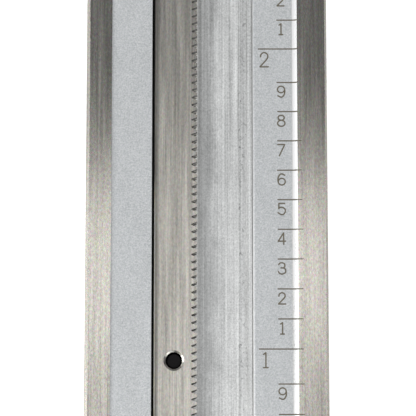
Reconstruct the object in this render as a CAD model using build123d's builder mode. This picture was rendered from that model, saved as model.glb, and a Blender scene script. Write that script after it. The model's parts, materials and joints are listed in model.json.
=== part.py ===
# Rack-driven drafting T-square, inch graduated.
#
# A ground steel blade carries a toothed rack strip in its groove. The head
# (stock and carriage) runs along the blade on a pinion turned by a knurled
# knob, and a small thumb screw locks it.
#
# Frame: X across the blade, Y along it, away from the head, Z up.
# Origin: blade centreline, plane of the guide face, underside of the blade.
# Millimetres.
from build123d import *
import math
import os

os.makedirs("parts", exist_ok=True)

# ---- blade -------------------------------------------------------------
INCH = 25.4
BLADE_W = 0.8 * INCH
BLADE_T = 4.5
BLADE_Y0, BLADE_Y1 = -46.0, 330.0
HALF = BLADE_W / 2
BAND_Z = 4.35            # satin bands lie 0.15 below the ground lands
LAND_L = -8.00           # inner edge of the left land
BAND_R = 7.05            # the right band ends here and coves up to the land
LAND_R = 7.65
GROOVE_L, GROOVE_R = -4.60, 4.04
GROOVE_Z = 2.95
GROOVE_Y1 = 310.0
TRAVEL = 12 * INCH       # head travel and length of the scale

# ---- rack and pinion ---------------------------------------------------
PITCH = INCH / 40        # 0.025 in
MODULE = PITCH / math.pi
TEETH = 16
PRESSURE = math.radians(20)
RACK_L, RACK_R = -4.40, -0.80      # left side and tooth tips
RACK_DEPTH = 0.47                  # tooth depth
RACK_Z1 = 4.3
RACK_Y0, RACK_Y1 = -42.0, 306.0
TOOTH_T = PITCH / 2 + 0.02         # rack tooth thickness on the pitch line
PINION_T = PITCH / 2 - 0.07        # pinion tooth thickness
RACK_HOLE_X = -2.72
RACK_HOLES = [-36.0, 24.45, 100.65, 176.85, 253.05, 298.0]
RACK_HOLE_R = 0.7
PITCH_R = TEETH * MODULE / 2
PITCH_X = RACK_R - MODULE          # the rack's pitch line
PX, PY = PITCH_X + PITCH_R + 0.02, -10.84
SHAFT_R = 1.0

# ---- head --------------------------------------------------------------
STOCK_L = 6 * INCH
HEAD_Y = -38.0
STOCK_Z0 = -9.5
GAP = 0.04                         # running clearance to the blade
FRONT_Y = -1.2                     # carriage front, behind the index plate
CAR_W = 38.0
CAR_Z1 = 9.0
CEILING = BLADE_T + GAP
SCREW_XY = [(-14.8, -6.0), (14.8, -6.0), (-14.8, -32.0), (14.8, -32.0)]
DOWEL_XY = [(-14.8, -19.0), (14.8, -19.0)]
GIB_Y = (-36.0, -3.0)
GIB_SCREW_Y = [-11.0, -28.0]
GIB_X = -(HALF + 0.04 + 1.22)      # outer face of the gib
LX, LY = 8.80, -26.0   # clamp screw over the right land
STOP_X = (-6.385, 5.45)            # stop screws stand in the satin bands
TIP_STOP_Y = 307.1
TAIL_STOP_Y = -41.2


def knurl(r_out, depth, count):
    """Corner points of a straight knurl around the origin."""
    pts = []
    for i in range(count):
        a = 2 * math.pi * i / count
        for r, da in ((r_out - depth, -0.5), (r_out, -0.18), (r_out, 0.18)):
            b = a + da * 2 * math.pi / count
            pts.append((r * math.cos(b), r * math.sin(b)))
    return pts


def gear_points():
    """Involute outline with a tooth space facing the rack (towards -X)."""
    rb = PITCH_R * math.cos(PRESSURE)
    r_tip, r_root = PITCH_R + 0.19, PITCH_R - MODULE - 0.055
    inv = lambda r: math.sqrt((r / rb) ** 2 - 1) - math.acos(rb / r)
    half = PINION_T / 2 / PITCH_R + inv(PITCH_R)
    flank = [(r_root, half + 0.01), (rb, half)]
    for k in range(1, 5):
        r = rb + (r_tip - rb) * k / 4
        flank.append((r, half - inv(r)))
    pts = []
    for t in range(TEETH):
        mid = math.pi + (t + 0.5) * 2 * math.pi / TEETH
        for r, d in flank:
            pts.append((r * math.cos(mid - d), r * math.sin(mid - d)))
        for r, d in reversed(flank):
            pts.append((r * math.cos(mid + d), r * math.sin(mid + d)))
    return pts


# ======================= blade body =====================================
with BuildPart() as blade:
    # outer section: chamfered land at each edge, recessed middle, cove at right
    with BuildSketch(Plane.XZ.offset(-BLADE_Y1)):
        with BuildLine():
            Polyline(
                (BAND_R, BAND_Z), (LAND_L, BAND_Z), (LAND_L, BLADE_T),
                (-HALF + 0.30, BLADE_T), (-HALF, BLADE_T - 0.30),
                (-HALF, 0.25), (-HALF + 0.25, 0), (HALF - 0.25, 0),
                (HALF, 0.25), (HALF, BLADE_T - 0.18), (HALF - 0.18, BLADE_T),
                (LAND_R, BLADE_T),
            )
            ThreePointArc((LAND_R, BLADE_T), (7.44, 4.394), (BAND_R, BAND_Z))
        make_face()
    extrude(amount=BLADE_Y1 - BLADE_Y0)
    # plan outline with a rounded tip
    with BuildSketch(Plane.XY.offset(-1)) as outline:
        with Locations((0, (BLADE_Y0 + BLADE_Y1) / 2)):
            Rectangle(BLADE_W + 0.001, BLADE_Y1 - BLADE_Y0)
        fillet(outline.vertices().group_by(Axis.Y)[-1], 6.0)
        fillet(outline.vertices().group_by(Axis.Y)[0], 1.5)
    extrude(amount=7, mode=Mode.INTERSECT)
    # groove: flat rack seat, pinion channel coving up at the right, small ledge
    with BuildSketch(Plane.XZ.offset(-GROOVE_Y1)):
        with BuildLine():
            Polyline((GROOVE_L, 4.8), (GROOVE_L, GROOVE_Z), (0.50, GROOVE_Z))
            ThreePointArc((0.50, GROOVE_Z), (1.65, 3.02), (2.69, 3.22))
            Polyline(
                (2.69, 3.22), (2.74, 3.31), (3.36, 3.34), (3.44, 3.50),
                (3.83, 3.54), (3.87, 3.46), (3.90, 4.26), (GROOVE_R, BAND_Z),
                (GROOVE_R, 4.8), (GROOVE_L, 4.8),
            )
        make_face()
    extrude(amount=GROOVE_Y1 - BLADE_Y0 + 1, mode=Mode.SUBTRACT)
    # countersunk clearance holes under the rack, from below
    with Locations(*[Plane((RACK_HOLE_X, y, 0), x_dir=(1, 0, 0), z_dir=(0, 0, -1)) for y in RACK_HOLES]):
        CounterSinkHole(radius=0.9, counter_sink_radius=1.6, depth=3.4, counter_sink_angle=90)
    # tapped holes for the stop screws
    with Locations(*[(x, y, BAND_Z) for x in STOP_X for y in (TIP_STOP_Y, TAIL_STOP_Y)]):
        Hole(radius=1.0, depth=3.4)
    # hanging hole near the tip, both rims eased
    with Locations((0, 322, BAND_Z)):
        CounterSinkHole(radius=2.5, counter_sink_radius=2.75, depth=5, counter_sink_angle=90)
    with Locations(Plane((0, 322, 0), x_dir=(1, 0, 0), z_dir=(0, 0, -1))):
        CounterSinkHole(radius=2.5, counter_sink_radius=2.75, depth=5, counter_sink_angle=90)
blade.part.label = "blade"
export_step(blade.part, "parts/blade.step")

with BuildPart() as rack:
    t_tip = TOOTH_T / 2 - MODULE * math.tan(PRESSURE)
    t_root = TOOTH_T / 2 + (RACK_DEPTH - MODULE) * math.tan(PRESSURE)
    root_x = RACK_R - RACK_DEPTH
    edge = []
    first = math.ceil((RACK_Y0 + t_root + 0.02 - PY) / PITCH)
    last = math.floor((RACK_Y1 - t_root - 0.02 - PY) / PITCH)
    for n in range(first, last + 1):
        y = PY + n * PITCH
        edge += [(root_x, y - t_root), (RACK_R, y - t_tip), (RACK_R, y + t_tip), (root_x, y + t_root)]
    with BuildSketch(Plane.XY.offset(GROOVE_Z)):
        with BuildLine():
            Polyline(
                (RACK_L, RACK_Y1), (RACK_L, RACK_Y0), (root_x, RACK_Y0),
                *edge, (root_x, RACK_Y1), (RACK_L, RACK_Y1),
            )
        make_face()
    extrude(amount=RACK_Z1 - GROOVE_Z)
    # the long left edge is broken by hand stoning
    with BuildSketch(Plane.XZ.offset(-RACK_Y1 - 1)):
        with BuildLine():
            Polyline(
                (RACK_L - 0.1, RACK_Z1 - 0.12), (RACK_L, RACK_Z1 - 0.12),
                (RACK_L + 0.07, RACK_Z1), (RACK_L + 0.07, RACK_Z1 + 0.1),
                (RACK_L - 0.1, RACK_Z1 + 0.1), (RACK_L - 0.1, RACK_Z1 - 0.12),
            )
        make_face()
    extrude(amount=RACK_Y1 - RACK_Y0 + 2, mode=Mode.SUBTRACT)
    # tapped through holes with a chamfered mouth
    with Locations(*[(RACK_HOLE_X, y, RACK_Z1) for y in RACK_HOLES]):
        CounterSinkHole(radius=RACK_HOLE_R, counter_sink_radius=0.87, counter_sink_angle=118)
rack.part.label = "rack"
export_step(rack.part, "parts/rack.step")

# countersunk 0-80 size screws holding the rack, one solid each
with BuildPart() as rack_screws:
    for y in RACK_HOLES:
        with BuildSketch(Plane((RACK_HOLE_X, y, 0), x_dir=(1, 0, 0), z_dir=(0, -1, 0))):
            with BuildLine():
                Polyline((0, 0.05), (1.45, 0.05), (1.45, 0.13), (0.82, 0.76), (0.685, 0.76), (0.685, 3.20), (0.55, 3.34), (0, 3.34), (0, 0.05))
            make_face()
        revolve(axis=Axis((RACK_HOLE_X, y, 0), (0, 0, 1)))
        with BuildSketch(Plane((RACK_HOLE_X, y, 0.05))):
            Rectangle(3.2, 0.34)
        extrude(amount=0.32, mode=Mode.SUBTRACT)
rack_screws.part.label = "rack_screws"
export_step(rack_screws.part, "parts/rack_screws.step")

# stop block across the tail of the blade
with BuildPart() as tail_stop:
    with BuildSketch(Plane.XY.offset(BAND_Z)) as ts:
        with Locations((0, TAIL_STOP_Y)):
            RectangleRounded(14.0, 5.8, 0.6)
    extrude(amount=3.2)
    chamfer(tail_stop.faces().sort_by(Axis.Z)[-1].edges(), 0.35)
    with Locations(*[(x, TAIL_STOP_Y, BAND_Z + 3.2) for x in STOP_X]):
        CounterBoreHole(radius=1.1, counter_bore_radius=2.0, counter_bore_depth=1.3)
tail_stop.part.label = "tail_stop"
export_step(tail_stop.part, "parts/tail_stop.step")


def pan_screw_profile(head_r, head_h, shank_r, length, top):
    """Half section of a cheese-head screw whose head sits on z = top."""
    return [
        (0, top - length), (shank_r - 0.12, top - length), (shank_r, top - length + 0.12), (shank_r, top),
        (head_r, top), (head_r, top + head_h - 0.18), (head_r - 0.18, top + head_h), (0, top + head_h), (0, top - length),
    ]


with BuildPart() as tail_stop_screws:
    for x in STOP_X:
        with BuildSketch(Plane((x, TAIL_STOP_Y, 0), x_dir=(1, 0, 0), z_dir=(0, -1, 0))):
            with BuildLine():
                Polyline(*pan_screw_profile(1.9, 1.2, 0.98, 5.0, BAND_Z + 1.9))
            make_face()
        revolve(axis=Axis((x, TAIL_STOP_Y, 0), (0, 0, 1)))
        with BuildSketch(Plane((x, TAIL_STOP_Y, BAND_Z + 3.1))):
            Rectangle(4, 0.5)
        extrude(amount=-0.6, mode=Mode.SUBTRACT)
tail_stop_screws.part.label = "tail_stop_screws"
export_step(tail_stop_screws.part, "parts/tail_stop_screws.step")

with BuildPart() as tip_stop_screws:
    for x in STOP_X:
        with BuildSketch(Plane((x, TIP_STOP_Y, 0), x_dir=(1, 0, 0), z_dir=(0, -1, 0))):
            with BuildLine():
                Polyline(*pan_screw_profile(1.6, 1.5, 0.98, 3.1, BAND_Z))
            make_face()
        revolve(axis=Axis((x, TIP_STOP_Y, 0), (0, 0, 1)))
        with BuildSketch(Plane((x, TIP_STOP_Y, BAND_Z + 1.5))):
            Rectangle(4, 0.5)
        extrude(amount=-0.6, mode=Mode.SUBTRACT)
tip_stop_screws.part.label = "tip_stop_screws"
export_step(tip_stop_screws.part, "parts/tip_stop_screws.step")

# ======================= head body ======================================
with BuildPart() as stock:
    with BuildSketch(Plane.XY.offset(STOCK_Z0)) as sk:
        with Locations((0, HEAD_Y / 2)):
            Rectangle(STOCK_L, -HEAD_Y)
        fillet(sk.vertices().group_by(Axis.Y)[0], 9.0)
        chamfer(sk.vertices().group_by(Axis.Y)[-1], 0.8)
    extrude(amount=-STOCK_Z0 - GAP)
    chamfer(stock.faces().sort_by(Axis.Z)[-1].edges(), 0.22)
    chamfer(stock.faces().sort_by(Axis.Z)[0].edges(), 0.22)
    # finger groove along the back
    with BuildSketch(Plane.YZ.offset(-60)):
        with Locations((HEAD_Y - 1.6, (STOCK_Z0 - GAP) / 2)):
            Circle(3.2)
    extrude(amount=120, mode=Mode.SUBTRACT)
    with Locations(*[(x, y, -GAP) for x, y in SCREW_XY]):
        Hole(radius=1.5, depth=7.6)
    with Locations(*[(x, y, -GAP) for x, y in DOWEL_XY]):
        Hole(radius=1.5, depth=7.0)
stock.part.label = "stock"
export_step(stock.part, "parts/stock.step")

with BuildPart() as carriage:
    with BuildSketch(Plane.XY.offset(-GAP)):
        with Locations((0, (HEAD_Y + FRONT_Y) / 2)):
            RectangleRounded(CAR_W, FRONT_Y - HEAD_Y, 2.0)
    extrude(amount=CAR_Z1 + GAP)
    chamfer(carriage.faces().sort_by(Axis.Z)[-1].edges(), 0.7)
    # blade channel, open below
    with BuildSketch(Plane.XZ.offset(-1)):
        with Locations(((0.03 - 0.10) / 2, (CEILING - 1) / 2)):
            Rectangle(BLADE_W + 0.13, CEILING + 1)
    extrude(amount=60, mode=Mode.SUBTRACT)
    # gib pocket in the left wall
    with BuildSketch(Plane.XY.offset(-GAP)):
        with Locations((GIB_X + 0.67, sum(GIB_Y) / 2)):
            Rectangle(1.42, GIB_Y[1] - GIB_Y[0])
    extrude(amount=CEILING + GAP, mode=Mode.SUBTRACT)
    with Locations((PX, PY, CAR_Z1)):
        Hole(radius=2.2)
    # clamp screw thread above a smaller pad bore
    with Locations((LX, LY, CAR_Z1)):
        Hole(radius=1.2)
        Hole(radius=1.5, depth=CAR_Z1 - 6.0)
    with Locations(*[(x, y, CAR_Z1) for x, y in SCREW_XY]):
        CounterBoreHole(radius=1.6, counter_bore_radius=2.9, counter_bore_depth=3.3)
    with Locations(*[Plane((x, y, -GAP), x_dir=(1, 0, 0), z_dir=(0, 0, -1)) for x, y in DOWEL_XY]):
        Hole(radius=1.5, depth=6.2)
    with Locations(*[Plane((-CAR_W / 2, y, 2.2), x_dir=(0, 1, 0), z_dir=(-1, 0, 0)) for y in GIB_SCREW_Y]):
        Hole(radius=1.25, depth=CAR_W / 2 + GIB_X + 0.4)
    with Locations(*[Plane((x, FRONT_Y, 6.9), x_dir=(1, 0, 0), z_dir=(0, 1, 0)) for x in (-8.0, 8.0)]):
        Hole(radius=0.8, depth=4.2)
carriage.part.label = "carriage"
export_step(carriage.part, "parts/carriage.step")

# socket cap screws, M3, heads sunk in the counterbores
with BuildPart() as carriage_screws:
    for x, y in SCREW_XY:
        seat = CAR_Z1 - 3.3
        with BuildSketch(Plane((x, y, 0), x_dir=(1, 0, 0), z_dir=(0, -1, 0))):
            with BuildLine():
                Polyline(
                    (0, -7.0), (1.2, -7.0), (1.48, -6.7), (1.48, seat), (2.75, seat),
                    (2.75, seat + 2.7), (2.45, seat + 3.0), (0, seat + 3.0), (0, -7.0),
                )
            make_face()
        revolve(axis=Axis((x, y, 0), (0, 0, 1)))
        with BuildSketch(Plane((x, y, seat + 3.0))):
            RegularPolygon(radius=1.25, side_count=6, major_radius=False)
        extrude(amount=-1.6, mode=Mode.SUBTRACT)
carriage_screws.part.label = "carriage_screws"
export_step(carriage_screws.part, "parts/carriage_screws.step")

with BuildPart() as dowel_pins:
    for x, y in DOWEL_XY:
        with BuildSketch(Plane((x, y, 0), x_dir=(1, 0, 0), z_dir=(0, -1, 0))):
            with BuildLine():
                Polyline((0, -6.6), (1.2, -6.6), (1.5, -6.2), (1.5, 5.6), (1.2, 6.0), (0, 6.0), (0, -6.6))
            make_face()
        revolve(axis=Axis((x, y, 0), (0, 0, 1)))
dowel_pins.part.label = "dowel_pins"
export_step(dowel_pins.part, "parts/dowel_pins.step")

# brass gib taking up side play at the left edge of the blade
with BuildPart() as gib:
    with BuildSketch(Plane.XY.offset(0.05)):
        with Locations((GIB_X + 0.61, sum(GIB_Y) / 2)):
            Rectangle(1.22, GIB_Y[1] - GIB_Y[0] - 0.2)
    extrude(amount=4.35)
    # shallow seats for the set screw tips
    with Locations(*[Plane((GIB_X, y, 2.2), x_dir=(0, 1, 0), z_dir=(-1, 0, 0)) for y in GIB_SCREW_Y]):
        Hole(radius=0.8, depth=0.3)
gib.part.label = "gib"
export_step(gib.part, "parts/gib.step")

with BuildPart() as gib_screws:
    for y in GIB_SCREW_Y:
        with BuildSketch(Plane((0, y, 2.2), x_dir=(1, 0, 0), z_dir=(0, 0, 1))):
            with BuildLine():
                Polyline(
                    (GIB_X + 0.26, 0), (GIB_X + 0.26, 0.7), (GIB_X - 0.04, 0.72), (GIB_X - 0.54, 1.23), (-17.9, 1.23),
                    (-18.2, 0.95), (-18.2, 0), (GIB_X + 0.26, 0),
                )
            make_face()
        revolve(axis=Axis((0, y, 2.2), (1, 0, 0)))
        with BuildSketch(Plane((-18.2, y, 2.2), x_dir=(0, 1, 0), z_dir=(-1, 0, 0))):
            RegularPolygon(radius=0.65, side_count=6, major_radius=False)
        extrude(amount=-1.6, mode=Mode.SUBTRACT)
gib_screws.part.label = "gib_screws"
export_step(gib_screws.part, "parts/gib_screws.step")

# flanged bronze bush for the pinion shaft
with BuildPart() as pinion_bush:
    with BuildSketch(Plane((PX, PY, 0), x_dir=(1, 0, 0), z_dir=(0, -1, 0))):
        with BuildLine():
            Polyline(
                (1.03, CEILING), (2.19, CEILING), (2.19, CAR_Z1), (3.6, CAR_Z1), (3.6, 9.6),
                (3.4, 9.8), (1.25, 9.8), (1.03, 9.58), (1.03, CEILING),
            )
        make_face()
    revolve(axis=Axis((PX, PY, 0), (0, 0, 1)))
pinion_bush.part.label = "pinion_bush"
export_step(pinion_bush.part, "parts/pinion_bush.step")

# reading plate on the carriage front; its lower edge stands over the scale
with BuildPart() as index_plate:
    with BuildSketch(Plane.XZ.offset(0)):
        with Locations((0, (4.56 + 8.9) / 2)):
            RectangleRounded(31.0, 8.9 - 4.56, 0.5)
    extrude(amount=-FRONT_Y)
    with Locations(*[Plane((x, 0, 6.9), x_dir=(1, 0, 0), z_dir=(0, 1, 0)) for x in (-8.0, 8.0)]):
        CounterSinkHole(radius=0.9, counter_sink_radius=1.55, counter_sink_angle=90)
index_plate.part.label = "index_plate"
export_step(index_plate.part, "parts/index_plate.step")

with BuildPart() as index_screws:
    for x in (-8.0, 8.0):
        with BuildSketch(Plane((x, 0, 6.9), x_dir=(1, 0, 0), z_dir=(0, 0, 1))):
            with BuildLine():
                Polyline((0, -0.05), (1.42, -0.05), (1.42, -0.12), (0.78, -0.76), (0.78, -4.7), (0.6, -4.9), (0, -4.9), (0, -0.05))
            make_face()
        revolve(axis=Axis((x, 0, 6.9), (0, 1, 0)))
        with BuildSketch(Plane((x, -0.05, 6.9), x_dir=(1, 0, 0), z_dir=(0, 1, 0))):
            Rectangle(3.2, 0.32)
        extrude(amount=-0.35, mode=Mode.SUBTRACT)
index_screws.part.label = "index_screws"
export_step(index_screws.part, "parts/index_screws.step")

# brass pad under the clamp screw, so that steel never marks the land
with BuildPart() as lock_pad:
    with BuildSketch(Plane((LX, LY, 4.55))):
        Circle(1.17)
    extrude(amount=1.40)
    chamfer(lock_pad.edges(), 0.12)
lock_pad.part.label = "lock_pad"
export_step(lock_pad.part, "parts/lock_pad.step")

# ======================= pinion body ====================================
with BuildPart() as pinion:
    with BuildSketch(Plane((PX, PY, 3.30))):
        with BuildLine():
            Polyline(*gear_points(), close=True)
        make_face()
    extrude(amount=0.9)
    with BuildSketch(Plane((PX, PY, 0), x_dir=(1, 0, 0), z_dir=(0, -1, 0))):
        with BuildLine():
            Polyline(
                (0, 4.1), (1.34, 4.1), (1.34, 4.5), (SHAFT_R, 4.5), (SHAFT_R, 18.6),
                (SHAFT_R - 0.25, 18.9), (0, 18.9), (0, 4.1),
            )
        make_face()
    revolve(axis=Axis((PX, PY, 0), (0, 0, 1)))
pinion.part.label = "pinion"
export_step(pinion.part, "parts/pinion.step")

with BuildPart() as thrust_washer:
    with BuildSketch(Plane((PX, PY, 9.86))):
        Circle(3.2)
        Circle(1.05, mode=Mode.SUBTRACT)
    extrude(amount=0.34)
thrust_washer.part.label = "thrust_washer"
export_step(thrust_washer.part, "parts/thrust_washer.step")

# knurled knob with a hub below it that carries the index collar
with BuildPart() as pinion_knob:
    with BuildSketch(Plane((PX, PY, 0), x_dir=(1, 0, 0), z_dir=(0, -1, 0))):
        with BuildLine():
            Polyline(
                (0, 10.2), (4.0, 10.2), (4.0, 13.0), (5.6, 13.0), (5.9, 13.3), (5.9, 13.9), (6.5, 14.5),
                (6.5, 20.3), (5.7, 21.0), (4.6, 21.0), (4.3, 20.6), (0, 20.6), (0, 10.2),
            )
        make_face()
    revolve(axis=Axis((PX, PY, 0), (0, 0, 1)))
    with BuildSketch(Plane((PX, PY, 10.0))):
        with BuildLine():
            Polyline(*knurl(6.5, 0.3, 44), close=True)
        make_face()
    extrude(amount=12, mode=Mode.INTERSECT)
    with Locations(Plane((PX, PY, 10.2), x_dir=(1, 0, 0), z_dir=(0, 0, -1))):
        Hole(radius=1.01, depth=8.8)
    with Locations(Plane((PX, PY - 6.5, 17.4), x_dir=(1, 0, 0), z_dir=(0, -1, 0))):
        Hole(radius=1.0, depth=6.2)
pinion_knob.part.label = "pinion_knob"
export_step(pinion_knob.part, "parts/pinion_knob.step")

# graduated collar, 40 divisions of one hundredth of an inch
with BuildPart() as index_collar:
    with BuildSketch(Plane((PX, PY, 0), x_dir=(1, 0, 0), z_dir=(0, -1, 0))):
        with BuildLine():
            Polyline(
                (4.01, 10.35), (7.35, 10.35), (7.5, 10.5), (7.5, 11.9), (6.45, 12.95), (4.01, 12.95), (4.01, 10.35),
            )
        make_face()
    revolve(axis=Axis((PX, PY, 0), (0, 0, 1)))
index_collar.part.label = "index_collar"
export_step(index_collar.part, "parts/index_collar.step")

with BuildPart() as knob_set_screw:
    with BuildSketch(Plane((PX, PY, 17.4), x_dir=(1, 0, 0), z_dir=(0, 0, 1))):
        with BuildLine():
            Polyline((0, -1.03), (0.55, -1.03), (0.98, -1.5), (0.98, -5.3), (0.75, -5.5), (0, -5.5), (0, -1.03))
        make_face()
    revolve(axis=Axis((PX, PY, 17.4), (0, 1, 0)))
    with BuildSketch(Plane((PX, PY - 5.5, 17.4), x_dir=(1, 0, 0), z_dir=(0, -1, 0))):
        RegularPolygon(radius=0.45, side_count=6, major_radius=False)
    extrude(amount=-1.2, mode=Mode.SUBTRACT)
knob_set_screw.part.label = "knob_set_screw"
export_step(knob_set_screw.part, "parts/knob_set_screw.step")

# ======================= clamp body =====================================
with BuildPart() as lock_stud:
    with BuildSketch(Plane((LX, LY, 0), x_dir=(1, 0, 0), z_dir=(0, -1, 0))):
        with BuildLine():
            Polyline((0, 6.02), (1.2, 6.02), (1.46, 6.3), (1.46, 15.6), (1.2, 15.9), (0, 15.9), (0, 6.02))
        make_face()
    revolve(axis=Axis((LX, LY, 0), (0, 0, 1)))
lock_stud.part.label = "lock_stud"
export_step(lock_stud.part, "parts/lock_stud.step")

with BuildPart() as lock_knob:
    with BuildSketch(Plane((LX, LY, 0), x_dir=(1, 0, 0), z_dir=(0, -1, 0))):
        with BuildLine():
            Polyline(
                (0, 9.9), (2.9, 9.9), (2.9, 11.2), (5.0, 11.2), (5.5, 11.7), (5.5, 15.9), (4.9, 16.5),
                (0, 16.5), (0, 9.9),
            )
        make_face()
    revolve(axis=Axis((LX, LY, 0), (0, 0, 1)))
    with BuildSketch(Plane((LX, LY, 9.0))):
        with BuildLine():
            Polyline(*knurl(5.5, 0.3, 36), close=True)
        make_face()
    extrude(amount=9, mode=Mode.INTERSECT)
    with Locations(Plane((LX, LY, 9.9), x_dir=(1, 0, 0), z_dir=(0, 0, -1))):
        Hole(radius=1.47, depth=6.1)
lock_knob.part.label = "lock_knob"
export_step(lock_knob.part, "parts/lock_knob.step")

print("pinion at", round(PX, 4), PY, "pitch radius", round(PITCH_R, 5), "ratio rad/m", round(1000 / PITCH_R, 4))
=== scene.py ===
import bpy, bmesh, json, math
from mathutils import Vector, Matrix


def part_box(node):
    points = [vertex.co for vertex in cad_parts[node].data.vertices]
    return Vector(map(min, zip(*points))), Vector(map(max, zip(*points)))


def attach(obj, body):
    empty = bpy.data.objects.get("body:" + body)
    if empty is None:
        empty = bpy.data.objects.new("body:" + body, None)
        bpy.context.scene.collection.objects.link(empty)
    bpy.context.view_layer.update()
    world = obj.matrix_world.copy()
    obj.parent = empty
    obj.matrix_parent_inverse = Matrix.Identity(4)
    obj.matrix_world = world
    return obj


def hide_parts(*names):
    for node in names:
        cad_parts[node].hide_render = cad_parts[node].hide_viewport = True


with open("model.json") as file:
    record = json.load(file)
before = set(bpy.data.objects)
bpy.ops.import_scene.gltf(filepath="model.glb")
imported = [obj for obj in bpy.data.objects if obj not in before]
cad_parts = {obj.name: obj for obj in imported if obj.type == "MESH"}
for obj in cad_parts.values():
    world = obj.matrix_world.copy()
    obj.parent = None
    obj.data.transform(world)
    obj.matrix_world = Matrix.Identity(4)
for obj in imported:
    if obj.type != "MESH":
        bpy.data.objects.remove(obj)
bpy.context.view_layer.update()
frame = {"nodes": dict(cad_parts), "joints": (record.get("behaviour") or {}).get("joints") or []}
nodes = frame["nodes"]
MM = 0.001

# ---- sizes shared with the CAD model, in millimetres --------------------
HALF = 10.16
BAND_Z, LAND_Z = 4.35, 4.5
LAND_L, BAND_R, LAND_R = -8.00, 7.05, 7.65
RACK_L, RACK_R, PITCH = -4.40, -0.80, 0.635
INCH, STEP = 25.4, 2.501          # each tenth is 2.501, the tenth before an inch is longer
j = {x["name"]: x for x in frame["joints"]}
PX, PY = [v * 1000 for v in j["pinion_turn"]["pos_m"][:2]]
LX, LY = [v * 1000 for v in j["lock_turn"]["pos_m"][:2]]


# =========================== node helpers ================================
class Mat:
    """A small wrapper to write node materials in a few lines."""

    def __init__(self, name):
        self.m = bpy.data.materials.new(name)
        self.m.use_nodes = True
        self.t = self.m.node_tree
        self.t.nodes.clear()
        self.out = self.t.nodes.new("ShaderNodeOutputMaterial")
        self.b = self.t.nodes.new("ShaderNodeBsdfPrincipled")
        self.t.links.new(self.b.outputs[0], self.out.inputs[0])
        tc = self.t.nodes.new("ShaderNodeTexCoord")
        sc = self.t.nodes.new("ShaderNodeVectorMath")
        sc.operation = "SCALE"
        sc.inputs["Scale"].default_value = 1000.0
        self.t.links.new(tc.outputs["Object"], sc.inputs[0])
        self.p = sc.outputs[0]                 # position in mm
        sep = self.t.nodes.new("ShaderNodeSeparateXYZ")
        self.t.links.new(self.p, sep.inputs[0])
        self.x, self.y, self.z = sep.outputs

    def put(self, sock, v):
        if isinstance(v, bpy.types.NodeSocket):
            self.t.links.new(v, sock)
        elif v is not None:
            sock.default_value = v

    def math(self, op, a, b=None, c=None, clamp=False):
        n = self.t.nodes.new("ShaderNodeMath")
        n.operation = op
        n.use_clamp = clamp
        for k, v in enumerate((a, b, c)):
            if v is not None:
                self.put(n.inputs[k], v)
        return n.outputs[0]

    def step(self, v, lo, hi):
        n = self.t.nodes.new("ShaderNodeMapRange")
        n.interpolation_type = "SMOOTHSTEP"
        n.inputs["From Min"].default_value = lo
        n.inputs["From Max"].default_value = hi
        self.put(n.inputs["Value"], v)
        return n.outputs[0]

    def remap(self, v, a, b, c, d):
        n = self.t.nodes.new("ShaderNodeMapRange")
        for k, w in (("From Min", a), ("From Max", b), ("To Min", c), ("To Max", d)):
            n.inputs[k].default_value = w
        self.put(n.inputs["Value"], v)
        return n.outputs[0]

    def noise(self, scale, freq=1.0, detail=3.0, rough=0.55, seed=0.0, vec=None):
        """Noise of the position in mm, stretched by scale (per-axis cycles per mm)."""
        v = self.t.nodes.new("ShaderNodeVectorMath")
        v.operation = "MULTIPLY_ADD"
        self.put(v.inputs[0], vec or self.p)
        v.inputs[1].default_value = scale
        v.inputs[2].default_value = (seed * 3.7, seed * 5.3, seed * 7.9)
        n = self.t.nodes.new("ShaderNodeTexNoise")
        n.inputs["Scale"].default_value = freq
        n.inputs["Detail"].default_value = detail
        n.inputs["Roughness"].default_value = rough
        self.t.links.new(v.outputs[0], n.inputs["Vector"])
        return n.outputs[0], n.outputs[1]

    def mix(self, f, a, b, kind="MIX"):
        n = self.t.nodes.new("ShaderNodeMix")
        n.data_type = "RGBA"
        n.blend_type = kind
        self.put(n.inputs["Factor"], f)
        self.put(n.inputs["A"], (*a, 1.0) if isinstance(a, tuple) and len(a) == 3 else a)
        self.put(n.inputs["B"], (*b, 1.0) if isinstance(b, tuple) and len(b) == 3 else b)
        return n.outputs["Result"]

    def mixf(self, f, a, b):
        n = self.t.nodes.new("ShaderNodeMix")
        n.data_type = "FLOAT"
        self.put(n.inputs["Factor"], f)
        self.put(n.inputs["A"], a)
        self.put(n.inputs["B"], b)
        return n.outputs["Result"]

    def scale_rgb(self, col, k):
        n = self.t.nodes.new("ShaderNodeVectorMath")
        n.operation = "SCALE"
        self.put(n.inputs[0], col)
        self.put(n.inputs["Scale"], k)
        return n.outputs[0]

    def bump(self, height, strength, dist=0.00001, normal=None):
        n = self.t.nodes.new("ShaderNodeBump")
        n.inputs["Strength"].default_value = strength
        n.inputs["Distance"].default_value = dist
        self.put(n.inputs["Height"], height)
        if normal is not None:
            self.t.links.new(normal, n.inputs["Normal"])
        return n.outputs[0]

    def tangent(self, x, y, z):
        n = self.t.nodes.new("ShaderNodeCombineXYZ")
        n.inputs[0].default_value, n.inputs[1].default_value, n.inputs[2].default_value = x, y, z
        self.t.links.new(n.outputs[0], self.b.inputs["Tangent"])

    def radial(self):
        n = self.t.nodes.new("ShaderNodeTangent")
        n.direction_type = "RADIAL"
        n.axis = "Z"
        self.t.links.new(n.outputs[0], self.b.inputs["Tangent"])

    def set(self, **kw):
        names = dict(color="Base Color", rough="Roughness", metal="Metallic", normal="Normal",
                     aniso="Anisotropic", spec="Specular IOR Level", coat="Coat Weight")
        for k, v in kw.items():
            s = self.b.inputs[names[k]]
            self.put(s, (*v, 1.0) if isinstance(v, tuple) and len(v) == 3 else v)
        return self


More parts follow.
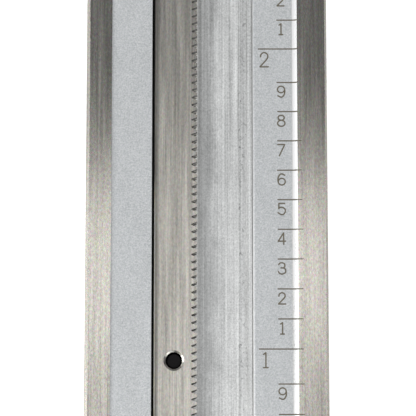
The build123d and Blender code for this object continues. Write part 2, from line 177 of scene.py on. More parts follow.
def brushed_colour(m, base, long_amp, speck_amp, axis="y", seed=0.0, chroma=0.25):
    """Ground steel: long fine scratches, short mottling, faint colour speckle."""
    def s(a, b):                     # a = cycles/mm across the scratches, b = along them
        return {"y": (a, b, a), "x": (b, a, a), "z": (a, a, b)}[axis]
    f1, _ = m.noise(s(5.5, 0.11), 1.0, 1.0, 0.8, seed + 1)
    f2, _ = m.noise(s(1.5, 0.035), 1.0, 2.0, 0.5, seed + 2)
    f3, _ = m.noise(s(9.0, 3.2), 1.0, 1.0, 0.8, seed + 3)
    _, c3 = m.noise(s(9.0, 6.0), 1.0, 0.0, 0.5, seed + 4)
    k = m.math("MULTIPLY_ADD", m.math("SUBTRACT", f1, 0.5), long_amp, 1.0)
    k = m.math("MULTIPLY_ADD", m.math("SUBTRACT", f2, 0.5), long_amp * 0.5, k)
    k = m.math("MULTIPLY_ADD", m.math("SUBTRACT", f3, 0.5), speck_amp, k)
    tint = m.mix(chroma, (0.5, 0.5, 0.5), c3)      # coloured noise about mid grey
    tint = m.scale_rgb(tint, 2.0)
    col = m.mix(1.0, base, tint, "MULTIPLY")
    return m.scale_rgb(col, k), f1, f3


# ---- blade: ground lands, satin chrome bands, planed channel ------------
def blade_material():
    m = Mat("blade_steel")
    ax = m.math("ABSOLUTE", m.x)
    channel = m.math("MULTIPLY", m.step(m.z, 2.80, 2.85), m.math("SUBTRACT", 1.0, m.step(m.z, 4.22, 4.30)))
    channel = m.math("MULTIPLY", channel, m.math("SUBTRACT", 1.0, m.step(ax, 5.0, 5.2)))
    band = m.math("MULTIPLY", m.step(m.z, 4.2, 4.3), m.math("SUBTRACT", 1.0, m.step(m.z, 4.44, 4.49)))
    band = m.math("MULTIPLY", band, m.math("SUBTRACT", 1.0, m.step(ax, 8.005, 8.02)))
    band = m.math("MULTIPLY", band, m.math("SUBTRACT", 1.0, m.step(m.x, 7.12, 7.30)))
    cove = m.math("MULTIPLY", m.step(m.x, 7.12, 7.30), m.math("SUBTRACT", 1.0, m.step(m.x, 7.643, 7.653)))
    channel = m.math("MAXIMUM", channel, cove)         # the cove has the planed finish too
    # ground lands
    land, l1, l3 = brushed_colour(m, (0.590, 0.562, 0.508), 0.80, 0.72, chroma=0.22)
    painted_edge_shade = m.math("MULTIPLY_ADD", m.step(m.x, 7.9, 10.2), -0.17, 1.0)     # painted shade: the right land is painted darker towards its outer edge
    land = m.scale_rgb(land, painted_edge_shade)
    m.set(color=land, metal=1.0, rough=m.math("MULTIPLY_ADD", l1, 0.10, 0.21), aniso=0.92,
          normal=m.bump(l1, 0.35, 0.000004))
    m.tangent(1, 0, 0)
    # satin chrome: fine even grain, slightly blue
    g1, gc = m.noise((8.0, 8.0, 8.0), 1.0, 1.0, 0.8, 11)
    g2, _ = m.noise((0.9, 0.30, 0.9), 1.0, 3.0, 0.6, 12)
    ks = m.math("MULTIPLY_ADD", m.math("SUBTRACT", g1, 0.5), 0.72, 1.0)
    ks = m.math("MULTIPLY_ADD", m.math("SUBTRACT", g2, 0.5), 0.16, ks)
    satin = m.scale_rgb(m.mix(0.05, (0.685, 0.70, 0.708), gc), ks)
    sb = m.t.nodes.new("ShaderNodeBsdfPrincipled")
    m.put(sb.inputs["Base Color"], satin)
    sb.inputs["Metallic"].default_value = 1.0
    m.put(sb.inputs["Roughness"], m.math("MULTIPLY_ADD", g1, 0.08, 0.54))
    m.put(sb.inputs["Normal"], m.bump(g1, 0.35, 0.000006))
    # planed channel: neutral, long tool lines, grain and small pits on the ledge
    c1, _ = m.noise((6.0, 0.05, 6.0), 1.0, 1.0, 0.9, 21)
    c2, _ = m.noise((8.0, 6.0, 8.0), 1.0, 1.0, 0.9, 22)
    c3, _ = m.noise((0.50, 0.22, 0.50), 1.0, 4.0, 0.65, 23)
    c4, _ = m.noise((3.6, 3.0, 3.6), 1.0, 2.0, 0.7, 24)
    kc = m.math("MULTIPLY_ADD", m.math("SUBTRACT", c1, 0.5), 0.85, 1.0)
    kc = m.math("MULTIPLY_ADD", m.math("SUBTRACT", c2, 0.5), 0.75, kc)
    kc = m.math("MULTIPLY_ADD", m.math("SUBTRACT", c3, 0.5), 0.45, kc)
    # painted shade and highlight: the floor beside the rack is painted darker and the right part of the channel is
    # painted bright, with an uneven limit
    lim = m.math("MULTIPLY_ADD", m.math("SUBTRACT", c3, 0.5), 2.4, m.x)
    kc = m.math("MULTIPLY", kc, m.math("MULTIPLY_ADD", m.step(lim, 0.1, 1.3), 0.24, 0.84))
    # painted light: the floor left of x = -0.86, seen in the tooth gaps, is painted brighter
    kc = m.math("MULTIPLY", kc, m.math("MULTIPLY_ADD", m.math("SUBTRACT", 1.0, m.step(m.x, -0.86, -0.66)), 0.55, 1.0))
    # painted shadow: a dark strip on the channel floor along the upper flank of each tooth gap
    half = m.math("MULTIPLY_ADD", m.math("SUBTRACT", RACK_R, m.x), 0.364, 0.0952)   # half width of a tooth at x
    u = m.math("MULTIPLY", m.math("FRACT", m.math("DIVIDE", m.math("SUBTRACT", m.y, PY), PITCH)), PITCH)
    gap = m.math("SUBTRACT", m.math("SUBTRACT", PITCH, half), u)                     # distance to the next flank
    gap = m.math("MULTIPLY_ADD", m.step(m.y, 26.0, 50.0), 0.050, gap)
    foot = m.math("MULTIPLY", m.math("SUBTRACT", 1.0, m.step(gap, 0.070, 0.115)), m.step(gap, -0.03, -0.01))
    foot = m.math("MULTIPLY", foot, m.math("MULTIPLY", m.step(m.x, -1.40, -1.36), m.math("SUBTRACT", 1.0, m.step(m.x, -0.90, -0.78))))
    kc = m.math("MULTIPLY", kc, m.math("MULTIPLY_ADD", foot, -0.80, 1.0))
    ledge = m.math("MULTIPLY", m.step(m.x, 2.66, 2.76), m.math("SUBTRACT", 1.0, m.step(m.x, 3.30, 3.40)))
    kc = m.math("MULTIPLY", kc, m.math("MULTIPLY_ADD", ledge, -0.07, 1.0))
    pits = m.math("MULTIPLY", m.step(c4, 0.58, 0.68), m.math("MULTIPLY_ADD", ledge, 0.30, 0.08))
    kc = m.math("SUBTRACT", kc, pits)
    # painted highlight: the cove is painted brighter
    bright = m.step(m.x, 7.08, 7.22)
    kc = m.math("MULTIPLY", kc, m.math("MULTIPLY_ADD", bright, 0.62, 1.0))
    left = m.step(m.x, -4.34, -4.28)                   # painted shade: the slot beside the rack is painted nearly black
    kc = m.math("MULTIPLY", kc, m.math("MULTIPLY_ADD", left, 0.97, 0.03))
    chan = m.scale_rgb((0.655, 0.66, 0.655), kc)
    cb = m.t.nodes.new("ShaderNodeBsdfPrincipled")
    m.put(cb.inputs["Base Color"], chan)
    cb.inputs["Metallic"].default_value = 1.0
    m.put(cb.inputs["Roughness"], m.math("MULTIPLY_ADD", c1, 0.08, 0.46))
    m.put(cb.inputs["Normal"], m.bump(c2, 0.35, 0.000006))
    m1 = m.t.nodes.new("ShaderNodeMixShader")
    m.put(m1.inputs[0], band)
    m.t.links.new(m.b.outputs[0], m1.inputs[1])
    m.t.links.new(sb.outputs[0], m1.inputs[2])
    m2 = m.t.nodes.new("ShaderNodeMixShader")
    m.put(m2.inputs[0], channel)
    m.t.links.new(m1.outputs[0], m2.inputs[1])
    m.t.links.new(cb.outputs[0], m2.inputs[2])
    m.t.links.new(m2.outputs[0], m.out.inputs[0])
    return m.m


def rack_material():
    m = Mat("rack_steel")
    col, f1, f3 = brushed_colour(m, (0.56, 0.535, 0.487), 1.10, 0.60, seed=30, chroma=0.12)
    # painted shade: the colour is darkened at the left edge, on the left side, in the bores and on the shaded tooth
    # flanks
    edge = m.step(m.x, -4.25, -3.93)
    painted_edge_shade = m.math("MULTIPLY_ADD", m.step(m.y, 24.0, 52.0), 0.15, 0.39)
    k = m.mixf(edge, painted_edge_shade, 1.0)
    # the stoned corner catches a warm line of light along part of its length
    glint = m.math("MULTIPLY", m.math("SUBTRACT", 1.0, m.step(m.x, -4.330, -4.315)), m.step(m.z, 4.18, 4.20))
    glint = m.math("MULTIPLY", glint, m.math("SUBTRACT", 1.0, m.step(m.y, 36.0, 41.0)))
    g4, _ = m.noise((0.5, 0.35, 0.5), 1.0, 3.0, 0.6, 37)
    glint = m.math("MULTIPLY", glint, m.step(g4, 0.26, 0.52))
    k = m.mixf(glint, k, 2.6)
    col = m.mix(glint, col, m.mix(1.0, col, (1.0, 0.96, 0.74), "MULTIPLY"))
    # painted shade: the rack's left side is darkened below the top
    low = m.math("SUBTRACT", 1.0, m.step(m.z, 4.00, 4.24))
    left = m.math("SUBTRACT", 1.0, m.step(m.x, -4.395, -4.385))
    k = m.math("MULTIPLY", k, m.math("MULTIPLY_ADD", m.math("MULTIPLY", low, left), -0.85, 1.0))
    # painted shade: the bores are painted nearly black
    bore = m.math("MULTIPLY", m.step(m.x, -3.7, -3.6), m.math("SUBTRACT", 1.0, m.step(m.x, -1.9, -1.8)))
    bore = m.math("MULTIPLY", bore, m.math("SUBTRACT", 1.0, m.step(m.z, 4.14, 4.19)))
    k = m.math("MULTIPLY", k, m.math("MULTIPLY_ADD", bore, -0.93, 1.0))
    mouth = m.math("MULTIPLY", m.step(m.x, -3.62, -3.60), m.math("SUBTRACT", 1.0, m.step(m.x, -1.84, -1.82)))
    mouth = m.math("MULTIPLY", mouth, m.math("SUBTRACT", 1.0, m.step(m.z, 4.275, 4.292)))
    tc = m.t.nodes.new("ShaderNodeTexCoord")
    nrm = m.t.nodes.new("ShaderNodeSeparateXYZ")
    m.t.links.new(tc.outputs["Normal"], nrm.inputs[0])
    # painted highlight and shade: each mouth is painted bright on two sides and dark on the others
    b1 = m.step(m.math("MULTIPLY", nrm.outputs[0], -1.0), 0.38, 0.46)
    b2 = m.step(m.math("MULTIPLY_ADD", nrm.outputs[0], 0.53, m.math("MULTIPLY", nrm.outputs[1], -0.85)), 0.40, 0.47)
    rim = m.math("MULTIPLY_ADD", m.math("MAXIMUM", b1, b2), 1.35, 0.45)
    k = m.math("MULTIPLY", k, m.math("MULTIPLY_ADD", mouth, m.math("SUBTRACT", rim, 1.0), 1.0))
    # painted light and shade on the tooth flanks that face -Y: paler low down, darker high up
    shade = m.math("MULTIPLY", m.step(m.math("MULTIPLY", nrm.outputs[1], -1.0), 0.6, 0.8), m.step(m.x, -1.40, -1.32))
    pale = m.math("MULTIPLY", shade, m.math("SUBTRACT", 1.0, m.step(m.z, 3.30, 3.70)))
    k = m.math("MULTIPLY", k, m.math("MULTIPLY_ADD", pale, 0.6, 1.0))
    shade = m.math("MULTIPLY", shade, m.step(m.z, 3.30, 3.70))
    k = m.math("MULTIPLY", k, m.math("MULTIPLY_ADD", shade, -0.78, 1.0))
    col = m.scale_rgb(col, k)
    rough = m.math("MULTIPLY_ADD", f1, 0.12, 0.33)
    m.set(color=col, metal=1.0, rough=rough, aniso=0.8, normal=m.bump(f1, 0.4, 0.000004))
    m.tangent(1, 0, 0)
    return m.m


def satin_chrome(name, turned=False, base=(0.66, 0.67, 0.68)):
    m = Mat(name)
    g1, gc = m.noise((4.0, 4.0, 4.0), 1.0, 4.0, 0.75, 41)
    g2, _ = m.noise((0.25, 0.25, 0.25), 1.0, 3.0, 0.6, 42)
    k = m.math("MULTIPLY_ADD", m.math("SUBTRACT", g1, 0.5), 0.14, 1.0)
    k = m.math("MULTIPLY_ADD", m.math("SUBTRACT", g2, 0.5), 0.10, k)
    col = m.scale_rgb(m.mix(0.04, base, gc), k)
    m.set(color=col, metal=1.0, rough=m.math("MULTIPLY_ADD", g1, 0.10, 0.34), normal=m.bump(g1, 0.3, 0.000006))
    return m.m


def turned_metal(name, base, px, py, rough=0.26, rings=14.0, amp=0.18, aniso=0.7):
    """Lathe-turned metal: fine rings about a vertical axis at px, py."""
    m = Mat(name)
    dx = m.math("SUBTRACT", m.x, px)
    dy = m.math("SUBTRACT", m.y, py)
    r = m.math("SQRT", m.math("ADD", m.math("MULTIPLY", dx, dx), m.math("MULTIPLY", dy, dy)))
    c = m.t.nodes.new("ShaderNodeCombineXYZ")
    m.t.links.new(r, c.inputs[0]); m.t.links.new(m.z, c.inputs[1])
    f, _ = m.noise((rings, rings, 1.0), 1.0, 3.0, 0.7, 51, vec=c.outputs[0])
    g, gc = m.noise((1.2, 1.2, 1.2), 1.0, 3.0, 0.6, 52)
    k = m.math("MULTIPLY_ADD", m.math("SUBTRACT", f, 0.5), amp, 1.0)
    k = m.math("MULTIPLY_ADD", m.math("SUBTRACT", g, 0.5), 0.14, k)
    col = m.scale_rgb(m.mix(0.04, base, gc), k)
    m.set(color=col, metal=1.0, rough=m.math("MULTIPLY_ADD", f, 0.10, rough - 0.05), aniso=aniso,
          normal=m.bump(f, 0.3, 0.000006))
    m.radial()
    return m.m


def black_oxide(name, deep=1.0):
    m = Mat(name)
    g1, gc = m.noise((3.0, 3.0, 3.0), 1.0, 4.0, 0.7, 61)
    k = m.math("MULTIPLY_ADD", m.math("SUBTRACT", g1, 0.5), 0.9 * deep, deep)
    col = m.scale_rgb(m.mix(0.10, (0.035, 0.034, 0.036), (0.08, 0.06, 0.045)), k)
    m.set(color=col, metal=0.75, rough=m.math("MULTIPLY_ADD", g1, 0.25, 0.24), normal=m.bump(g1, 0.4, 0.00001))
    return m.m


def nylon(name):
    m = Mat(name)
    g1, gc = m.noise((2.0, 2.0, 2.0), 1.0, 4.0, 0.7, 71)
    col = m.scale_rgb((0.80, 0.78, 0.72), m.math("MULTIPLY_ADD", m.math("SUBTRACT", g1, 0.5), 0.12, 1.0))
    m.set(color=col, metal=0.0, rough=m.math("MULTIPLY_ADD", g1, 0.1, 0.40), normal=m.bump(g1, 0.3, 0.00001))
    return m.m


def stock_material():
    """Ground flat on top, underneath and on the guide face, scratches along its length."""
    m = Mat("stock_steel")
    col, f1, f3 = brushed_colour(m, (0.50, 0.497, 0.486), 0.22, 0.16, axis="x", seed=80)
    m.set(color=col, metal=1.0, rough=m.math("MULTIPLY_ADD", f1, 0.12, 0.36), aniso=0.7,
          normal=m.bump(f1, 0.35, 0.000005))
    m.tangent(0, 1, 0)
    return m.m


def mark_material(name="engraving_fill", base=(0.165, 0.146, 0.110)):
    m = Mat(name)
    g1, gc = m.noise((5.0, 5.0, 5.0), 1.0, 3.0, 0.7, 91)
    col = m.scale_rgb(base, m.math("MULTIPLY_ADD", m.math("SUBTRACT", g1, 0.5), 1.1, 1.0))
    m.set(color=col, metal=0.0, rough=0.62, spec=0.25, normal=m.bump(g1, 0.5, 0.00001))
    return m.m


def floor_material():
    m = Mat("floor_white")
    g1, _ = m.noise((0.02, 0.02, 0.02), 1.0, 2.0, 0.5, 95)
    col = m.scale_rgb((0.93, 0.93, 0.93), m.math("MULTIPLY_ADD", m.math("SUBTRACT", g1, 0.5), 0.01, 1.0))
    m.set(color=col, metal=0.0, rough=0.85, spec=0.0)
    m.b.inputs["Emission Color"].default_value = (1, 1, 1, 1)
    m.b.inputs["Emission Strength"].default_value = 0.55
    return m.m


M_BLADE, M_RACK = blade_material(), rack_material()
M_SATIN = satin_chrome("satin_chrome")
M_STOCK = stock_material()
M_MARK = mark_material()
M_DIAL = mark_material("dial_fill", (0.02, 0.02, 0.022))
M_BRASS = turned_metal("brass", (0.70, 0.50, 0.22), LX, LY, 0.28)
M_GIB = satin_chrome("gib_brass", base=(0.68, 0.49, 0.22))
M_BRONZE = turned_metal("bronze", (0.62, 0.40, 0.20), PX, PY, 0.30)
M_KNOB = turned_metal("knob_chrome", (0.64, 0.645, 0.65), PX, PY, 0.26, 10.0, 0.12)
M_LOCK = turned_metal("lock_chrome", (0.64, 0.645, 0.65), LX, LY, 0.26, 10.0, 0.12)
M_COLLAR = turned_metal("collar_chrome", (0.70, 0.705, 0.71), PX, PY, 0.38, 12.0, 0.08, 0.4)
M_PINION = turned_metal("pinion_steel", (0.50, 0.49, 0.47), PX, PY, 0.24, 10.0, 0.15)
M_BLACK = black_oxide("black_oxide")
# painted shade: the rack screws get a much darker black oxide, standing in for the shade in the bores
M_SCREW_PAINTED_SHADE = black_oxide("black_oxide_painted_shade", 0.22)
M_BRIGHT = satin_chrome("bright_steel", base=(0.62, 0.61, 0.58))
M_NYLON = nylon("nylon")

MATS = {
    "blade": M_BLADE, "rack": M_RACK, "rack_screws": M_SCREW_PAINTED_SHADE, "tail_stop": M_SATIN,
    "tail_stop_screws": M_BRIGHT, "tip_stop_screws": M_BRIGHT, "stock": M_STOCK, "carriage": M_SATIN,
    "carriage_screws": M_BLACK, "dowel_pins": M_BRIGHT, "gib": M_GIB, "gib_screws": M_BLACK,
    "pinion_bush": M_BRONZE, "index_plate": M_BRIGHT, "index_screws": M_BLACK, "lock_pad": M_BRASS,
    "pinion": M_PINION, "thrust_washer": M_NYLON, "index_collar": M_COLLAR, "pinion_knob": M_KNOB,
    "knob_set_screw": M_BLACK, "lock_stud": M_BRIGHT, "lock_knob": M_LOCK,
}
for name, o in nodes.items():
    mat = MATS[name]
    if not o.data.materials:
        o.data.materials.append(mat)
    for i in range(len(o.data.materials)):
        o.data.materials[i] = mat


# =========================== engraved scale ==============================
def arc(cx, cy, rx, ry, a0, a1, n=14):
    return [(cx + rx * math.cos(math.radians(a0 + (a1 - a0) * i / n)),
             cy + ry * math.sin(math.radians(a0 + (a1 - a0) * i / n))) for i in range(n + 1)]


def curve(pts, n=6):
    """Smooth line through the points (Catmull-Rom)."""
    p = [pts[0]] + list(pts) + [pts[-1]]
    out = []
    for i in range(1, len(p) - 2):
        for k in range(n):
            t = k / n
            out.append(tuple(0.5 * (2 * p[i][d] + (p[i + 1][d] - p[i - 1][d]) * t
                       + (2 * p[i - 1][d] - 5 * p[i][d] + 4 * p[i + 1][d] - p[i + 2][d]) * t * t
                       + (3 * p[i][d] - p[i - 1][d] - 3 * p[i + 1][d] + p[i + 2][d]) * t ** 3) for d in (0, 1)))
    out.append(pts[-1])
    return out


NINE = [arc(0.48, 0.70, 0.48, 0.30, 0, 360, 24),
        curve([(0.965, 0.72), (1.0, 0.52), (0.93, 0.27), (0.74, 0.07), (0.47, 0.0), (0.06, 0.12)])]
GLYPH = {
    "0": [arc(0.5, 0.5, 0.46, 0.5, 0, 360, 28)],
    "1": [[(0.14, 0.885), (0.52, 0.995)], [(0.54, 1.0), (0.54, 0.0)], [(0.14, 0.0), (0.88, 0.0)]],
    "2": [curve([(0.05, 0.70), (0.12, 0.87), (0.45, 1.0), (0.82, 0.88), (0.88, 0.66), (0.68, 0.46)])
          + [(0.0, 0.01)], [(0.0, 0.0), (0.95, 0.0)]],
    "3": [curve([(0.04, 0.84), (0.22, 0.97), (0.52, 1.0), (0.84, 0.90), (0.86, 0.68), (0.68, 0.56), (0.36, 0.55)]),
          curve([(0.36, 0.55), (0.74, 0.53), (0.98, 0.38), (0.94, 0.14), (0.52, 0.0), (0.18, 0.06), (0.0, 0.22)])],
    "4": [[(0.72, 1.0), (0.0, 0.27)], [(0.0, 0.27), (1.0, 0.28)], [(0.73, 1.0), (0.75, 0.0)]],
    "5": [[(0.90, 1.0), (0.12, 1.0)], [(0.12, 1.0), (0.09, 0.53)],
          curve([(0.09, 0.53), (0.24, 0.62), (0.55, 0.65), (0.93, 0.50), (0.98, 0.26), (0.76, 0.04), (0.44, 0.0), (0.0, 0.17)])],
    "6": [[(1 - x, 1 - y) for x, y in s] for s in NINE],
    "7": [[(0.0, 1.0), (0.95, 1.0)], [(0.95, 1.0), (0.22, 0.0)]],
    "8": [arc(0.49, 0.775, 0.42, 0.225, 0, 360, 24), arc(0.5, 0.275, 0.5, 0.275, 0, 360, 26)],
    "9": NINE,
}


class Strokes:
    """Collects flat stroke shapes as thin closed slabs in one mesh."""

    def __init__(self):
        self.v, self.f, self.n = [], [], 0

    def add(self, pts, width, place, lift=0.0035, sink=0.03):
        """pts: 2-D centre line in mm; place(x, y, h) gives the 3-D point h above the surface."""
        pts = [p for i, p in enumerate(pts) if i == 0 or math.dist(p, pts[i - 1]) > 1e-4]
        closed = math.dist(pts[0], pts[-1]) < 1e-3
        self.n += 1
        lift += 0.0004 * (self.n % 5)
        h = width / 2
        left, right = [], []
        m = len(pts)
        for i, p in enumerate(pts):
            if closed:
                a, b = pts[(i - 1) % (m - 1)], pts[(i + 1) % (m - 1)]
            else:
                a, b = pts[max(i - 1, 0)], pts[min(i + 1, m - 1)]
            dx, dy = b[0] - a[0], b[1] - a[1]
            l = math.hypot(dx, dy) or 1
            nx, ny = -dy / l * h, dx / l * h
            left.append((p[0] + nx, p[1] + ny))
            right.append((p[0] - nx, p[1] - ny))
        rows = list(zip(left, right))
        if not closed:                      # rounded ends
            def cap(p, q, k):
                dx, dy = p[0] - q[0], p[1] - q[1]
                l = math.hypot(dx, dy)
                dx, dy = dx / l, dy / l
                out = []
                for t in (0.45, 0.8, 0.985):
                    w = h * math.sqrt(max(0.0, 1 - t * t))
                    c = (p[0] + dx * h * t, p[1] + dy * h * t)
                    s = 1 if k else -1
                    out.append(((c[0] - dy * w * s, c[1] + dx * w * s), (c[0] + dy * w * s, c[1] - dx * w * s)))
                return out
            rows = list(reversed(cap(pts[0], pts[1], False))) + rows + cap(pts[-1], pts[-2], True)
        base = len(self.v)
        k = len(rows) - (1 if closed else 0)
        for l2, r2 in rows[:k]:
            for q in (l2, r2):
                for hh in (lift, -sink):
                    self.v.append(tuple(c * MM for c in place(q[0], q[1], hh)))
        def idx(i, side, deep):
            return base + (i % k) * 4 + side * 2 + deep
        for i in range(k if closed else k - 1):
            j2 = i + 1
            self.f.append((idx(i, 0, 0), idx(i, 1, 0), idx(j2, 1, 0), idx(j2, 0, 0)))
            self.f.append((idx(i, 0, 1), idx(j2, 0, 1), idx(j2, 1, 1), idx(i, 1, 1)))
            self.f.append((idx(i, 0, 0), idx(j2, 0, 0), idx(j2, 0, 1), idx(i, 0, 1)))
            self.f.append((idx(i, 1, 0), idx(i, 1, 1), idx(j2, 1, 1), idx(j2, 1, 0)))
        if not closed:
            for i, order in ((0, (0, 1)), (k - 1, (1, 0))):
                a, b = order
                self.f.append((idx(i, a, 0), idx(i, a, 1), idx(i, b, 1), idx(i, b, 0)))

    def build(self, name, body, mat):
        me = bpy.data.meshes.new(name)
        me.from_pydata(self.v, [], self.f)
        me.materials.append(mat)
        bm = bmesh.new(); bm.from_mesh(me)
        bmesh.ops.recalc_face_normals(bm, faces=bm.faces)
        bm.to_mesh(me); bm.free()
        o = bpy.data.objects.new(name, me)
        bpy.context.scene.collection.objects.link(o)
        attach(o, body)
        return o


def glyphs(st, text, cx, top, height, cell_w, width, place, gap=0.42):
    """Draws text centred on cx, its top edge centre line at top."""
    adv = cell_w + gap * cell_w
    x0 = cx - (len(text) - 1) * adv / 2
    for i, ch in enumerate(text):
        for s in GLYPH[ch]:
            w = cell_w * (0.60 / 0.88 if ch == "1" else 1.0)
            st.add([(x0 + i * adv + (x - 0.5) * w, top - height + y * height) for x, y in s], width, place)


def blade_top(x):
    if x <= BAND_R:
        return BAND_Z
    if x >= LAND_R:
        return LAND_Z
    # the cove is a circular arc
    return COVE_Z - math.sqrt(COVE_RAD ** 2 - (x - COVE_X) ** 2) if x > COVE_X else BAND_Z


def circle3(p, q, r):
    """Centre and radius of the circle through three points."""
    ax_, ay_, bx, by, cx, cy = *p, *q, *r
    d = 2 * (ax_ * (by - cy) + bx * (cy - ay_) + cx * (ay_ - by))
    ux = ((ax_ ** 2 + ay_ ** 2) * (by - cy) + (bx ** 2 + by ** 2) * (cy - ay_) + (cx ** 2 + cy ** 2) * (ay_ - by)) / d
    uy = ((ax_ ** 2 + ay_ ** 2) * (cx - bx) + (bx ** 2 + by ** 2) * (ax_ - cx) + (cx ** 2 + cy ** 2) * (bx - ax_)) / d
    return ux, uy, math.hypot(p[0] - ux, p[1] - uy)


COVE_X, COVE_Z, COVE_RAD = circle3((LAND_R, LAND_Z), (7.44, 4.394), (BAND_R, BAND_Z))


def on_blade(x, y, h):
    return (x, y, blade_top(x) + h)


TICK_W, DIGIT_W, BIG_W = 0.108, 0.120, 0.120
SMALL_H, SMALL_CELL = 0.945, 0.615
BIG_H, BIG_CELL = 1.235, 0.735
marks = Strokes()


def tick(x0, y, over):
    xs = [x0, 6.2, 6.9, 7.05, 7.15, 7.25, 7.34, 7.42, 7.49, 7.56, 7.62, 7.66, 7.70]
    marks.add([(x, y) for x in [x for x in xs if x >= x0][:-1]], TICK_W, on_blade)
    if over > 7.75:                      # the cutter only grazed the land
        marks.add([(x, y) for x in (7.69, 7.75, over)], 0.080, on_blade, lift=0.002)


def over_land(y):
    """How far the end of a line runs onto the land; it comes and goes along the blade."""
    k = math.sin((y - 45.0) / 29.0)
    return 7.70 if k > -0.02 else min(8.06, 7.98 - 0.1 * k) + 0.03 * math.sin(y * 2.9)


for inch in range(0, 13):
    y = inch * INCH
    tick(4.38, y, over_land(y))
    if inch:
        glyphs(marks, str(inch), 4.90 + (0.45 if inch > 9 else 0.0), y - 0.305, BIG_H, BIG_CELL, BIG_W, on_blade)
    if inch < 12:
        for t in range(1, 10):
            yt = y + t * STEP
            tick(5.98 + 0.03 * math.sin(t * 1.7 + inch), yt, over_land(yt))
            glyphs(marks, str(t), 6.30, yt - 0.315, SMALL_H, SMALL_CELL, DIGIT_W, on_blade)
scale_marks = marks.build("scale_marks", "blade", M_MARK)

# =========================== dial on the collar ==========================
def on_collar(u, v, h):
    """u: angle in degrees about the pinion axis, from +Y, clockwise seen from above; v: mm down the collar's face."""
    a = math.radians(90 - u)
    s = math.sqrt(0.5)
    if v < 1.485:                      # bevel: from (6.45, 12.95) down to (7.5, 11.9)
        r, z = 6.45 + v * s + h * s, 12.95 - v * s + h * s
    else:
        r, z = 7.5 + h, 11.9 - (v - 1.485)
    return (PX + r * math.cos(a), PY + r * math.sin(a), z)


dial = Strokes()
for i in range(40):
    u = i * 9.0
    length = 1.25 if i % 10 == 0 else 0.95 if i % 5 == 0 else 0.62
    a0 = 1.43
    # work in a local flat frame: x is the arc length at r = 7
    dial.add([(0.0, a0 - length * k / 4) for k in range(5)], 0.11,
             lambda x, v, h, u=u: on_collar(u + math.degrees(x / 7.1), v, h), lift=0.004)
    if i % 5 == 0:
        txt = str(i)
        glyphs(dial, txt, 0.0, -1.60, 0.78, 0.46, 0.10,
               lambda x, yy, h, u=u: on_collar(u + math.degrees(x / 7.5), -yy, h), gap=0.5)
dial.build("dial_marks", "pinion", M_DIAL)

ref = Strokes()
ref.add([(PX, PY + 7.85), (PX, PY + 9.0)], 0.14, lambda x, y, h: (x, y, 9.0 + h), lift=0.004)
ref.build("dial_index", "head", M_DIAL)


# =========================== knurled knobs ===============================
def knurled_knob(name, node, body, cx, cy, profile, band, r_band, depth, diamonds, mat, bore=None):
    """Revolved knob; between the two band heights the rim carries a diamond knurl."""
    around = diamonds * 6
    pitch = 2 * math.pi * r_band / diamonds
    rows = []
    for i, (r, z) in enumerate(profile):
        rows.append((r, z, 0.0))
        if i + 1 < len(profile) and abs(r - r_band) < 1e-6 and abs(profile[i + 1][0] - r_band) < 1e-6:
            z1 = profile[i + 1][1]
            n = max(2, int(abs(z1 - z) / (pitch / 6)))
            for k in range(1, n):
                rows.append((r, z + (z1 - z) * k / n, 1.0))
    verts, faces = [], []
    for r, z, kn in rows:
        for a in range(around):
            th = 2 * math.pi * a / around
            rr = r
            if abs(r - r_band) < 1e-6:
                u = th * diamonds / (2 * math.pi)
                v = (z - band[0]) / pitch
                tri = lambda q: abs((q % 1.0) * 2 - 1)        # 0..1..0
                hgt = min(tri(u + v), tri(u - v))             # pyramids
                edge = min(1.0, (z - band[0]) / 0.25, (band[1] - z) / 0.25) if kn else 0.0
                rr = r - depth * (1 - min(1.0, hgt * 1.35)) * max(0.0, edge) - (0.0 if kn else depth * 0.5)
            verts.append(((cx + rr * math.cos(th)) * MM, (cy + rr * math.sin(th)) * MM, z * MM))
    nr = len(rows)
    for i in range(nr - 1):
        for a in range(around):
            b = (a + 1) % around
            faces.append((i * around + a, i * around + b, (i + 1) * around + b, (i + 1) * around + a))
    faces.append(tuple(reversed(range(around))))
    faces.append(tuple((nr - 1) * around + a for a in range(around)))
    me = bpy.data.meshes.new(name)
    me.from_pydata(verts, [], faces)
    me.materials.append(mat)
    bm = bmesh.new(); bm.from_mesh(me)
    bmesh.ops.recalc_face_normals(bm, faces=bm.faces)
    bm.to_mesh(me); bm.free()
    o = bpy.data.objects.new(name, me)
    bpy.context.scene.collection.objects.link(o)
    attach(o, body)
    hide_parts(node)
    return o


knurled_knob("pinion_knob_turned", "pinion_knob", "pinion", PX, PY,
             [(1.02, 10.2), (3.9, 10.2), (4.0, 10.3), (4.0, 13.0), (5.5, 13.0), (5.62, 13.05), (5.9, 13.3), (5.9, 13.8),
              (6.45, 14.45), (6.5, 14.55), (6.5, 20.25), (6.45, 20.35), (5.85, 20.9), (5.7, 20.98), (5.55, 21.0),
              (4.7, 21.0), (4.58, 20.97), (4.3, 20.65), (4.2, 20.6), (1.0, 20.6)],
             (14.55, 20.25), 6.5, 0.22, 52, M_KNOB)
knurled_knob("lock_knob_turned", "lock_knob", "lock", LX, LY,
             [(1.50, 9.9), (2.8, 9.9), (2.9, 10.0), (2.9, 11.2), (4.95, 11.2), (5.05, 11.25), (5.45, 11.65), (5.5, 11.75),
              (5.5, 15.85), (5.45, 15.95), (5.0, 16.4), (4.9, 16.47), (4.75, 16.5), (3.2, 16.5), (3.0, 16.3), (0.8, 16.3)],
             (11.75, 15.85), 5.5, 0.20, 44, M_LOCK)

# =========================== stage =======================================
size = 1.6
me = bpy.data.meshes.new("floor")
me.from_pydata([(-size, -size, 0), (size, -size, 0), (size, size, 0), (-size, size, 0)], [], [(0, 1, 2, 3)])
me.materials.append(floor_material())
floor = bpy.data.objects.new("floor", me)
floor.location = (0, 0.14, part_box("stock")[0].z - 0.00005)
bpy.context.scene.collection.objects.link(floor)

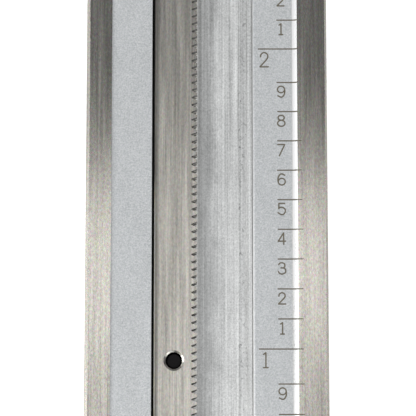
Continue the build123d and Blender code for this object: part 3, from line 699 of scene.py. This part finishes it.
world = bpy.data.worlds.new("studio")
world.use_nodes = True
bg = world.node_tree.nodes["Background"]
bg.inputs[0].default_value = (0.94, 0.97, 1.0, 1)
bg.inputs[1].default_value = 0.20
bpy.context.scene.world = world


def area(name, loc, facing, along, su, sv, radiance, colour=(1, 1, 1)):
    """Rectangular soft light: su is its size along the given axis. Power follows its size."""
    l = bpy.data.lights.new(name, "AREA")
    l.shape = "RECTANGLE"
    l.size, l.size_y = su, sv
    l.energy = radiance * math.pi * su * sv
    l.color = colour
    o = bpy.data.objects.new(name, l)
    z = -Vector(facing).normalized()
    x = Vector(along).normalized()
    y = z.cross(x)
    o.matrix_world = Matrix((x, y, z)).transposed().to_4x4()
    o.location = loc
    bpy.context.scene.collection.objects.link(o)
    return o


area("top_box", (-0.01, 0.074, 0.42), (0, 0, -1), (1, 0, 0), 0.44, 0.056, 1.22)
area("dim_box", (-0.03, 0.0, 0.42), (0, 0, -1), (1, 0, 0), 0.40, 0.09, 0.58)
area("front_box", (-0.01, -0.275, 0.42), (0, 0, -1), (1, 0, 0), 0.46, 0.45, 1.02)
area("spot_box", (0.26, -0.30, 0.26), (-0.55, 0.64, -0.54), (1, 0.86, 0), 0.12, 0.12, 3.0)
area("back_box", (0.0, 0.46, 0.36), (0, 0, -1), (1, 0, 0), 0.90, 0.42, 1.1)
area("left_box", (-0.42, -0.17, 0.27), (0.84, 0, -0.54), (0, 1, 0), 0.54, 0.34, 2.9)
area("right_box", (0.46, -0.17, 0.27), (-0.84, 0, -0.54), (0, 1, 0), 0.54, 0.30, 0.45)

# =========================== camera ======================================
THETA, F_PX, D = math.radians(7.455), 1790.23, 150.0
TX, TY, TZ = 0.1188, 37.1955, 4.4
cam = bpy.data.cameras.new("camera")
cam.sensor_width = 36.0
cam.lens = F_PX * 36.0 / 416.0
cam.clip_start, cam.clip_end = 0.005, 10.0
co = bpy.data.objects.new("camera", cam)
co.location = (TX * MM, (TY - D * math.sin(THETA)) * MM, (TZ + D * math.cos(THETA)) * MM)
co.rotation_euler = (THETA, 0, 0)
bpy.context.scene.collection.objects.link(co)
bpy.context.scene.camera = co
bpy.context.scene.view_settings.view_transform = "Standard"
bpy.context.scene.view_settings.look = "None"
